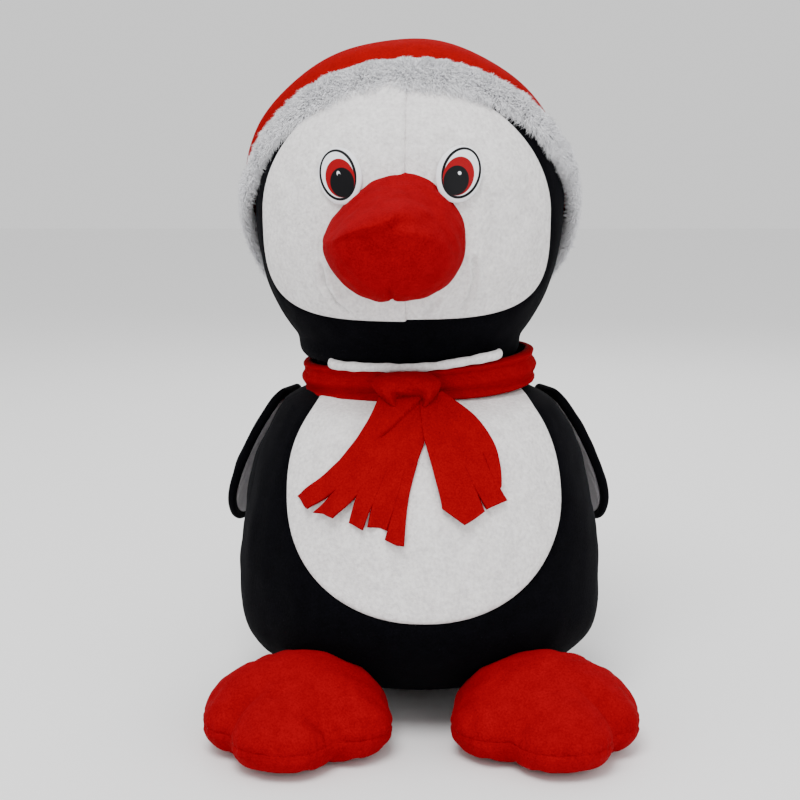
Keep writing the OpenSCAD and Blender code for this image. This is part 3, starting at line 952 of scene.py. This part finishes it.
def make_hat_tip():
    top = np.array([(tip_low[0] + tip_high[0]) / 2 + 1.5, (tip_low[1] + 9), tip_high[2] - 8])
    pom = (pom_low + pom_high) / 2
    pom_r = (pom_high[0] - pom_low[0]) / 2

    def place(azimuth, latitude):
        share = 0.5 - latitude / math.pi
        end = pom + np.array([0, 0, pom_r * 0.5])
        path = [top + [0, -9, 3], top + [0, 7, -3], top + (end - top) * 0.45 + [1, 5, 0], end]
        middle = curve_through(path, share)
        ahead = curve_through(path, share + 0.02) - curve_through(path, share - 0.02)
        ahead /= np.maximum(np.linalg.norm(ahead, axis=1), 1e-6)[:, None]
        up = np.cross(np.array([1.0, 0, 0]), ahead)
        wide = 24 * (1 - share) ** 0.9 + 5.0
        deep = 10.0 * (1 - share) ** 0.7 + 4.5
        close = np.minimum(np.sin(np.clip(share, 0, 1) * math.pi) * 4.0, 1.0) ** 0.6
        fold = 1 + 0.07 * np.sin(azimuth * 3 + share * 5) + 0.05 * np.sin(azimuth * 7 + share * 14)
        fold = fold - 0.10 * gauss(share - 0.32, 0.05) - 0.07 * gauss(share - 0.55, 0.04)
        x = wide * close * fold * np.cos(azimuth)
        y = deep * close * fold * np.sin(azimuth)
        return middle + np.array([1.0, 0, 0]) * x[:, None] + up * y[:, None]

    tip = ball("hat_tail", 96, 90, place)
    tidy(tip)
    finish_piece(tip, HAT_RED, "hat_fleece", "hat_tip", "hat_tip")

    core_r = pom_r - 6.0

    def round_place(azimuth, latitude):
        direction = sphere_direction(azimuth, latitude)
        return pom + direction * (core_r + 0.5 * lumps(direction * core_r, 9, 55))[:, None]

    core = ball("pompom_core", 48, 32, round_place)
    finish_piece(core, FUR, "white_fur", "hat_tip", "hat_pompom")
    rng = np.random.default_rng(5)
    n = 9000
    normals = unit(rng.normal(size=(n, 3)))
    pile = fur_coat("pompom_pile", pom + normals * (core_r - 0.3), normals,
                    np.zeros((n, 3)) + [0, 0, -0.2], np.full(n, 7.6), 0.7, 9, curl=0.7)
    finish_piece(pile, FUR, "white_fur", "hat_tip")


# ---------------------------------------------------------------- scarf

BAND_MID = (band_low[2] + band_high[2]) / 2
BAND_ROLL = math.radians(3.2)
BAND_HALF = 10.5


def roll_scarf(co):
    """Rolls points given about the scarf's middle to the side and puts them in place."""
    c, s = math.cos(-BAND_ROLL), math.sin(-BAND_ROLL)
    x, z = co[:, 0] * c + co[:, 2] * s, -co[:, 0] * s + co[:, 2] * c
    return rows(x, co[:, 1] + NECK_Y, z + BAND_MID)


def make_band():
    """The strip round the neck, gathered into three long folds."""
    def place(u, v):
        azimuth = u * math.pi
        t = (v + 1) / 2
        squeeze = 1 - 0.16 * gauss(np.sin((azimuth + math.pi / 2 + 0.05) / 2), 0.16)
        height = BAND_HALF * squeeze * np.cos(t * math.pi) + 0.5 * np.sin(azimuth * 3 + 1)
        ends = np.sin(t * math.pi) ** 0.35
        wander = 0.35 * np.sin(azimuth * 2.0 + 0.6) + 0.16 * np.sin(azimuth * 5)
        folds = 1.25 * np.sin(t * 3 * 2 * math.pi - math.pi / 2 + wander)
        sharp = -0.7 * gauss(t - 0.36 - 0.05 * np.sin(azimuth * 2), 0.018)
        sharp = sharp - 0.6 * gauss(t - 0.66 + 0.04 * np.sin(azimuth * 3), 0.018)
        fine = 0.22 * np.sin(azimuth * 19 + t * 9) + 0.12 * np.sin(azimuth * 41 - t * 14)
        r = NECK_R + 2.4 + 5.6 * ends + (folds + fine + sharp) * ends * 0.8
        return roll_scarf(polar(r, azimuth, height))

    band = patch("scarf_band", 240, 54, place)
    tidy(band, 0.05)
    thicken(band, 1.6)
    tidy(band)
    finish_piece(band, FELT, "scarf_felt", "torso", "scarf_wrap")


def make_collar():
    """The belly panel's rolled upper edge, which stands up between scarf and chin."""
    start_angle, sweep, r = math.radians(222), math.radians(91), 2.5

    def place(azimuth, latitude):
        t = latitude / math.pi + 0.5
        close = np.minimum(np.sin(np.clip(t, 0, 1) * math.pi) * 9, 1.0) ** 0.5
        turn = start_angle + sweep * np.clip((t - 0.03) / 0.94, 0, 1)
        end = np.abs(2 * t - 1)
        lump = 0.80 + 0.22 * end ** 2 + 0.05 * np.sin(turn * 23) + 0.04 * np.sin(turn * 41 + 1)
        x = (r + 0.4) * close * lump * np.cos(azimuth)
        z = (r + 0.6) * close * lump * np.sin(azimuth)
        # the two ends tuck in behind the scarf
        out = NECK_R + 7.6 + x - 4.5 * np.clip((end - 0.86) / 0.14, 0, 1) ** 1.5
        up = BAND_HALF + 0.7 + z + 2.2 * end ** 2 + 0.25 * np.sin(turn * 9) + step((t - 0.6) / 0.4)
        return roll_scarf(polar(out, turn, up))

    collar = ball("collar_roll", 28, 200, place)
    tidy(collar)
    finish_piece(collar, WHITE, "white_fleece", "torso", "neck_trim")


def curve_through(points, t):
    """A smooth line through three or four chosen points."""
    points = np.array(points, float)
    n = len(points) - 1
    s = np.clip(t, 0, 1) * n
    i = np.clip(s.astype(int), 0, n - 1)
    f = (s - i)[:, None]
    p0, p1 = points[np.maximum(i - 1, 0)], points[i]
    p2, p3 = points[i + 1], points[np.minimum(i + 2, n)]
    return 0.5 * (2 * p1 + (p2 - p0) * f + (2 * p0 - 5 * p1 + 4 * p2 - p3) * f ** 2
                  + (3 * p1 - p0 - 3 * p2 + p3) * f ** 3)


TAIL_STRAIGHT = 178.0      # above this the tails no longer follow the belly
TAIL_THICK = 1.7


def make_tail(name, node, rails, strips, lift):
    """A felt tail cut into strips. rails are the lines between strips, from the top to the slit's
    end. strips are the (x, z) ends of each strip's two edges below it."""
    made = []
    for i, (end_left, end_right) in enumerate(strips):
        left = rails[i] + [end_left]
        right = rails[i + 1] + [end_right]

        def place(u, v, left=left, right=right):
            t = (1 - v) / 2
            a, b = curve_through(left, t), curve_through(right, t)
            s = ((u + 1) / 2)[:, None]
            return np.concatenate([a * (1 - s) + b * s, t[:, None]], 1)

        made.append(patch(f"strip_{i}", 14, 72, place))
    tail = join(name, made)
    tidy(tail, 0.05)
    co = read(tail)
    x, z, t = co[:, 0], co[:, 1], co[:, 2]
    # the cloth leaves the belly near its top and runs straight up behind the loop
    foot_z = np.minimum(z, TAIL_STRAIGHT)
    base = torso_front(x, foot_z, lift(x, z, t))
    rise = z - foot_z
    write(tail, rows(base[:, 0], base[:, 1] + 0.9 * rise, z))
    thicken(tail, TAIL_THICK, 0.0)
    tidy(tail)
    tail.data.materials.clear()
    tail.data.materials.append(FELT)
    bpy.ops.object.shade_smooth()
    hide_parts(node)
    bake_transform(tail)


def make_tails():
    left_rails = [
        [(-21, 197), (-29, 180), (-41, 164), (-49, 155)],
        [(-17, 197), (-22, 179), (-35, 160), (-45, 145)],
        [(-13, 197), (-15, 178), (-25, 160), (-34, 143)],
        [(-9, 197), (-9, 177), (-17, 160), (-26, 139)],
        [(-4, 197), (-3, 176), (-8, 160), (-14.5, 137)],
        [(1, 197), (3, 176), (-2, 160), (-7, 141)],
    ]
    left_strips = [
        ((-70, 136.5), (-62, 132)), ((-58.5, 130.5), (-47, 129.5)), ((-39.5, 127), (-31.5, 124)),
        ((-29, 126), (-19, 124)), ((-19.5, 119), (-9.5, 116.5)),
    ]

    def left_lift(x, z, t):
        # the folded-over left edge, which ends along a slanting line below the loop
        line = x - (-2 - 1.15 * (190 - z))
        flap = 2.6 * step((-line - 0.4) / 1.4) * step((z - 169) / 9)
        roll = 1.6 * np.sin((x + 0.62 * (190 - z) + 22) * 0.12) * step(t * 2.5)
        curl = 3.0 * t ** 4 * (0.4 + 0.6 * np.sin(x * 0.40 + 1))
        hollow = -1.0 * gauss(line - 5, 5) * step((z - 167) / 10)
        return 3.6 + flap + roll + curl + hollow

    make_tail("scarf_tail_cloth_left", "scarf_tail_left", left_rails, left_strips, left_lift)
    right_rails = [
        [(-1, 196), (1, 176), (6, 157), (10, 142)],
        [(2, 196), (7, 176), (13, 158), (18, 146)],
        [(6, 196), (15, 177), (22, 161), (28, 148)],
        [(9, 196), (24, 179), (33, 166), (38, 154)],
        [(12, 196), (30, 183), (40, 169), (43.5, 156)],
    ]
    right_strips = [
        ((11, 136.5), (23, 127.5)), ((23, 127.5), (34, 133.5)), ((35.5, 134.5), (47, 138)),
        ((42, 142), (44, 146)),
    ]

    def right_lift(x, z, t):
        roll = 1.3 * np.sin((x - 0.35 * (190 - z)) * 0.15 + 1.2) * step(t * 2.5)
        pinch = -1.6 * gauss(x - 13 - 0.5 * (182 - z), 3) * step((z - 166) / 10)
        return 3.4 + roll + pinch + 1.4 * t ** 2

    make_tail("scarf_tail_cloth_right", "scarf_tail_right", right_rails, right_strips, right_lift)


def make_knot():
    """The loop in front: a wide fold of felt that narrows downwards and sinks into a hollow."""
    middle = np.array([-8.6, knot_low[1] + 9.0, BAND_MID - 2.8])
    half_w, half_d, half_h = 20.8, 13.0, 12.6

    def place(azimuth, latitude):
        direction = sphere_direction(azimuth, latitude)
        x, y, z = direction.T
        x, z = np.sign(x) * np.abs(x) ** 0.75, np.sign(z) * np.abs(z) ** 0.75
        front = step(-y * 1.3)
        narrow = 1.0 - 0.42 * step((0.55 - z) / 1.5)
        # the hollow opens from the top edge and is deepest low down, inside a rim
        inside = step((0.62 - np.abs(x - 0.05)) / 0.30) * step((z + 0.80) / 0.30)
        depth = inside * (0.10 + 0.95 * gauss(z + 0.38, 0.42)) * step((0.92 - z) / 0.5)
        rim = 0.16 * gauss(np.abs(x - 0.05) - 0.74, 0.16) * step((0.9 - z) / 0.5)
        lip = 0.16 * gauss(z + 0.86, 0.14)
        gather = 0.022 * np.sin(z * 16 + x * 6) + 0.02 * np.sin(x * 19 - z * 5)
        out = 1 - 0.80 * depth + rim + lip + gather
        px = x * half_w * narrow - 1.5 * (z - 0.5)
        py = y * half_d * np.where(y < 0, 1 + (out - 1) * front, 1.0)
        pz = z * half_h * (1 + 0.05 * x) + 1.0 * x * x
        return middle + rows(px, py, pz)

    knot = ball("scarf_loop", 140, 110, place)
    tidy(knot)
    finish_piece(knot, FELT, "scarf_felt", "torso", "scarf_knot")


# ---------------------------------------------------------------- cloth

def inflate(obj, voxel_mm, cap_mm, pressure, frames, hold):
    """Remeshes a stuffed form and lets cloth swell and wrinkle it, no point further than cap_mm.
    hold(co) gives 1 where a seam or the body keeps the cloth in place."""
    modifier = obj.modifiers.new("even", "REMESH")
    modifier.mode = "VOXEL"
    modifier.voxel_size = voxel_mm * MM
    modifier.use_smooth_shade = True
    apply_all(obj)
    before = read(obj)
    group = obj.vertex_groups.new(name="held")
    keep = hold(before)
    for i in np.nonzero(keep > 0.02)[0]:
        group.add([int(i)], float(min(keep[i], 1.0)), "REPLACE")
    cloth = obj.modifiers.new("swell", "CLOTH")
    settings = cloth.settings
    settings.quality = 5
    settings.mass = 0.15
    settings.tension_stiffness = 12
    settings.compression_stiffness = 12
    settings.shear_stiffness = 4
    settings.bending_stiffness = 0.3
    settings.use_pressure = True
    settings.uniform_pressure_force = pressure
    settings.effector_weights.gravity = 0
    settings.shrink_min = -0.04
    settings.vertex_group_mass = "held"
    cloth.collision_settings.use_collision = False
    cloth.point_cache.frame_end = frames
    only(obj)
    for moment in range(1, frames + 1):
        bpy.context.scene.frame_set(moment)
    bpy.ops.object.modifier_apply(modifier=cloth.name)
    bpy.context.scene.frame_set(1)
    after = read(obj)
    move = after - before
    far = np.linalg.norm(move, axis=1)
    write(obj, before + move * np.minimum(1, cap_mm / np.maximum(far, 1e-9))[:, None])
    obj.vertex_groups.clear()
    smooth_levels(obj, 1)


# ---------------------------------------------------------------- wings

def shoulder_frame(side):
    """The wing's own frame from its joint: X outwards, Y forwards, Z up along the wing."""
    root = joint_mm(f"wing_{SIDES[side]}")
    turn = math.radians(20)
    out = np.array([side * math.cos(turn), math.sin(turn), 0])
    forward = np.array([side * math.sin(turn), -math.cos(turn), 0])
    return root, out, forward


WING_LEN, WING_HALF, WING_ROOT, WING_WIDEST = 100.0, 30.0, 16.0, 0.58
WING_FLARE = math.radians(24)
WING_THICK = 10.0
WING_MIDDLE = WING_LEN * 0.52


def wing_outline_half(down):
    """Half width of the wing at a share of its length."""
    widening = np.sin(np.clip(down / WING_WIDEST, 0, 1) * math.pi / 2)
    upper = WING_ROOT + (WING_HALF - WING_ROOT) * widening
    lower = WING_HALF * np.sqrt(np.maximum(1 - ((down - WING_WIDEST) / (1 - WING_WIDEST)) ** 2, 0))
    return np.where(down < WING_WIDEST, upper, lower)


def wing_reach(angle, inset):
    """Distance from the wing's middle to its outline, in the wing's own plane."""

    def inside(reach):
        w, h = reach * np.cos(angle), WING_MIDDLE - reach * np.sin(angle)
        down = h / WING_LEN
        corner = np.maximum(np.abs(w) - 9, 0) ** 2 + np.maximum(12 - h, 0) ** 2
        cut = (h < 12) & (np.abs(w) > 4) & (corner > 12 ** 2)
        return (down > 0) & (down < 1) & (np.abs(w) < wing_outline_half(np.clip(down, 0, 1))) & ~cut

    return reach_inside(inside, 80.0, len(angle), 20) - inset


def wing_place(side, w, h, depth):
    """A point of the wing: w forwards across it, h down it, depth outwards from its middle."""
    root, out, forward = shoulder_frame(side)
    down = h / WING_LEN
    bow = 6.0 * np.sin(np.clip(down, 0, 1) * math.pi) - 0.0042 * (w - 2) ** 2 * step(down * 2)
    tuck = 2.5 * step((down - 0.75) / 0.3)
    radial = h * math.sin(WING_FLARE) + WING_THICK / 2 + bow - tuck + depth * math.cos(WING_FLARE)
    height = -h * math.cos(WING_FLARE) + depth * math.sin(WING_FLARE)
    co = root + out * radial[:, None] + forward * w[:, None]
    co[:, 2] += height
    return co


def make_wing(side):
    tag = SIDES[side]
    rim = 6.5              # the plush wraps this far round the edge before the lining starts

    def flat(azimuth, share, inset):
        reach = wing_reach(azimuth, inset) * share
        return reach * np.cos(azimuth), WING_MIDDLE - reach * np.sin(azimuth)

    def outer_place(azimuth, latitude):
        share = np.cos(latitude) ** 0.62
        w, h = flat(azimuth, share, 0.0)
        rise = np.abs(np.sin(latitude))
        co = wing_place(side, w, h, 0 * w)
        soft = 0.5 * lumps(co, 40, 61) + 0.2 * lumps(co, 14, 62)
        top = 4.6 * rise ** 0.7 + soft * rise
        back = -3.6 * np.minimum(rise / 0.45, 1) ** 0.7 + 2.2 * step((rise - 0.5) / 0.25)
        return wing_place(side, w, h, np.where(latitude > 0, top, back))

    def lining_place(azimuth, latitude):
        share = np.cos(latitude) ** 0.62
        w, h = flat(azimuth, share, rim)
        rise = np.abs(np.sin(latitude))
        fan = np.arctan2(w, h + 14)
        wrinkle = 0.40 * np.sin(fan * 58 + 1.5 * np.sin(h * 0.07)) + 0.22 * np.sin(fan * 97 + 2)
        wrinkle = wrinkle * step(rise / 0.5) * step((h - 6) / 20)
        front = -3.0 - 1.9 * rise ** 0.6 + wrinkle
        return wing_place(side, w, h, np.where(latitude > 0, front, -2.6 + 0 * w))

    wing = ball(f"wing_{tag}_plush", 128, 80, outer_place)
    lining = ball(f"wing_{tag}_lining_fleece", 160, 80, lining_place)
    tidy(wing)
    tidy(lining)
    body = f"wing_{tag}"
    finish_piece(wing, BLACK, "black_plush", body, f"wing_{tag}_outer", f"wing_{tag}_fill")
    finish_piece(lining, LINING, "white_fleece", body, f"wing_{tag}_lining")


# ---------------------------------------------------------------- feet

FOOT_SEAM = 16.0
FOOT_MIDDLE = np.array([70.0, -114.0])
# centre and radius of each lobe of a foot's outline, on the +X side
FOOT_LOBES = [((102, -113), 21), ((104, -101), 19), ((80, -137), 25), ((72, -139), 24),
              ((41, -119), 25), ((45, -102), 27), ((68, -86), 34), ((88, -92), 28), ((52, -88), 30)]
# directions of the notches between the toes
FOOT_NOTCHES = [math.atan2(-130 + 114, 101 - 70), math.atan2(-143 + 114, 55 - 70)]


def foot_reach(angle):
    """Distance from the foot's middle to its seam, rounded between the toes."""
    total = np.zeros(len(angle))
    direction = rows(np.cos(angle), np.sin(angle))
    for centre, r in FOOT_LOBES:
        offset = np.array(centre) - FOOT_MIDDLE
        along = direction @ offset
        room = r * r - (offset @ offset - along ** 2)
        reach = np.where(room > 0, along + np.sqrt(np.maximum(room, 0)), 0)
        total += np.maximum(reach, 0) ** 34
    return total ** (1 / 34)


def foot_shape(angle, share, top):
    """A point of the padded foot: share runs from its middle, 0, to the seam, 1."""
    reach = foot_reach(angle)
    x = FOOT_MIDDLE[0] + reach * share * np.cos(angle)
    y = FOOT_MIDDLE[1] + reach * share * np.sin(angle)
    back = step((y + 150) / 62)
    crown = 21 + 15 * back - 3.0 * step((np.abs(x - 70) - 20) / 30)
    dome = np.maximum(1 - share ** 2.3, 0) ** 0.55
    sole = np.maximum(1 - share ** 5.0, 0) ** 0.5
    valley = np.zeros(len(angle))
    for notch in FOOT_NOTCHES:
        gap = np.abs(np.arctan2(np.sin(angle - notch), np.cos(angle - notch))) * reach * share
        valley += 6.0 * gauss(gap, 6.0) * step((share - 0.42) / 0.40)
    z = np.where(top, FOOT_SEAM + crown * dome - valley * dome ** 0.5, FOOT_SEAM * (1 - sole))
    return rows(x, y, z)


def make_foot(side):
    tag = SIDES[side]

    def place(azimuth, latitude):
        return foot_shape(azimuth, np.cos(latitude) ** 0.8, latitude > 0) * [side, 1, 1]

    foot = ball(f"foot_{tag}_top_fleece", 128, 72, place)
    tidy(foot)

    def held(co):
        seam = gauss(co[:, 2] - FOOT_SEAM, 2.5)
        back = step((co[:, 1] + 92) / 8)
        ground = step((4.0 - co[:, 2]) / 2)
        return np.clip(seam * 0.9 + back + ground, 0, 1)

    inflate(foot, voxel_mm=3.4, cap_mm=3.0, pressure=4.0, frames=18, hold=held)
    co = read(foot)
    near = co[:, 2] - FOOT_SEAM
    away = co[:, :2] * [side, 1] - FOOT_MIDDLE
    angle = np.arctan2(away[:, 1], away[:, 0])
    flat = np.hypot(*away.T)
    share = flat / foot_reach(angle)
    direction = rows(away[:, 0] * side, away[:, 1], 0 * flat) / np.maximum(flat, 1e-6)[:, None]
    edge = step((share - 0.6) / 0.25)
    pucker = 0.30 * np.sin(angle * 46 + 2 * np.sin(angle * 7)) * gauss(near, 7)
    co = co + direction * ((seam_dip(near, 0.9, 1.3) + pucker) * edge)[:, None]
    soft = 0.5 * lumps(co, 26, 70 + side) + 0.25 * lumps(co, 12, 75 + side)
    co[:, 2] += soft * step((co[:, 2] - 6) / 10)
    # stay off the torso and on the ground
    middle = section_middle(co[:, 2])
    azimuth = np.arctan2(co[:, 1] - middle, co[:, 0])
    reach = torso_reach(azimuth, np.clip(co[:, 2], 0.5, 170))
    push = np.maximum(reach + 0.8 - np.hypot(co[:, 0], co[:, 1] - middle), 0)
    co[:, 0] += push * np.cos(azimuth)
    co[:, 1] += push * np.sin(azimuth)
    co[:, 2] = np.maximum(co[:, 2], 0.15)
    write(foot, co)
    sole = foot.copy()
    sole.data = foot.data.copy()
    sole.name = f"foot_{tag}_sole_fleece"
    bpy.context.scene.collection.objects.link(sole)
    for piece, is_top in ((foot, True), (sole, False)):
        only(piece)
        bpy.ops.object.mode_set(mode="EDIT")
        bpy.ops.mesh.select_all(action="SELECT")
        bpy.ops.mesh.bisect(plane_co=(0, 0, FOOT_SEAM * MM), plane_no=(0, 0, 1), use_fill=True,
                            clear_inner=is_top, clear_outer=not is_top)
        bpy.ops.object.mode_set(mode="OBJECT")
        tidy(piece)
    body = f"foot_{tag}"
    finish_piece(foot, RED_FLEECE, "red_fleece", body, f"foot_{tag}_upper", f"foot_{tag}_fill")
    finish_piece(sole, RED_FLEECE, "red_fleece", body, f"foot_{tag}_sole")


def make_ankle(side):
    tag = SIDES[side]
    low, high = box_mm(f"ankle_{tag}")
    middle, half = (low + high) / 2, (high - low) / 2

    def place(azimuth, latitude):
        flat = np.cos(latitude) ** 0.5
        up = np.sign(latitude) * np.abs(np.sin(latitude)) ** 0.8
        form = polar(flat, azimuth, up)
        return middle + form * half * [0.87, 0.87, 0.9]

    ankle = ball(f"ankle_{tag}_plush", 64, 40, place)
    tidy(ankle)
    finish_piece(ankle, BLACK, "black_plush", "torso", f"ankle_{tag}")


def dress_cad_nodes():
    """The nodes that stay as they are get their own materials."""
    for node, obj in frame["nodes"].items():
        if node.endswith("_fill"):
            material = FIBRE
        elif node.startswith("washer"):
            material = WASHER
        elif node == "base_panel":
            material = BLACK
        else:
            continue
        obj.data.materials.clear()
        obj.data.materials.append(material)


make_camera()
make_studio()
dress_cad_nodes()
make_torso()
make_belly()
make_head()
make_face(-1)
make_face(1)
make_face_stitches()
make_beak()
make_eye(-1)
make_eye(1)
make_crown()
make_brim()
make_hat_tip()
make_band()
make_collar()
make_knot()
make_tails()
for side in (-1, 1):
    make_wing(side)
    make_foot(side)
    make_ankle(side)
only(bpy.data.objects["floor"])
bpy.ops.object.select_all(action="DESELECT")
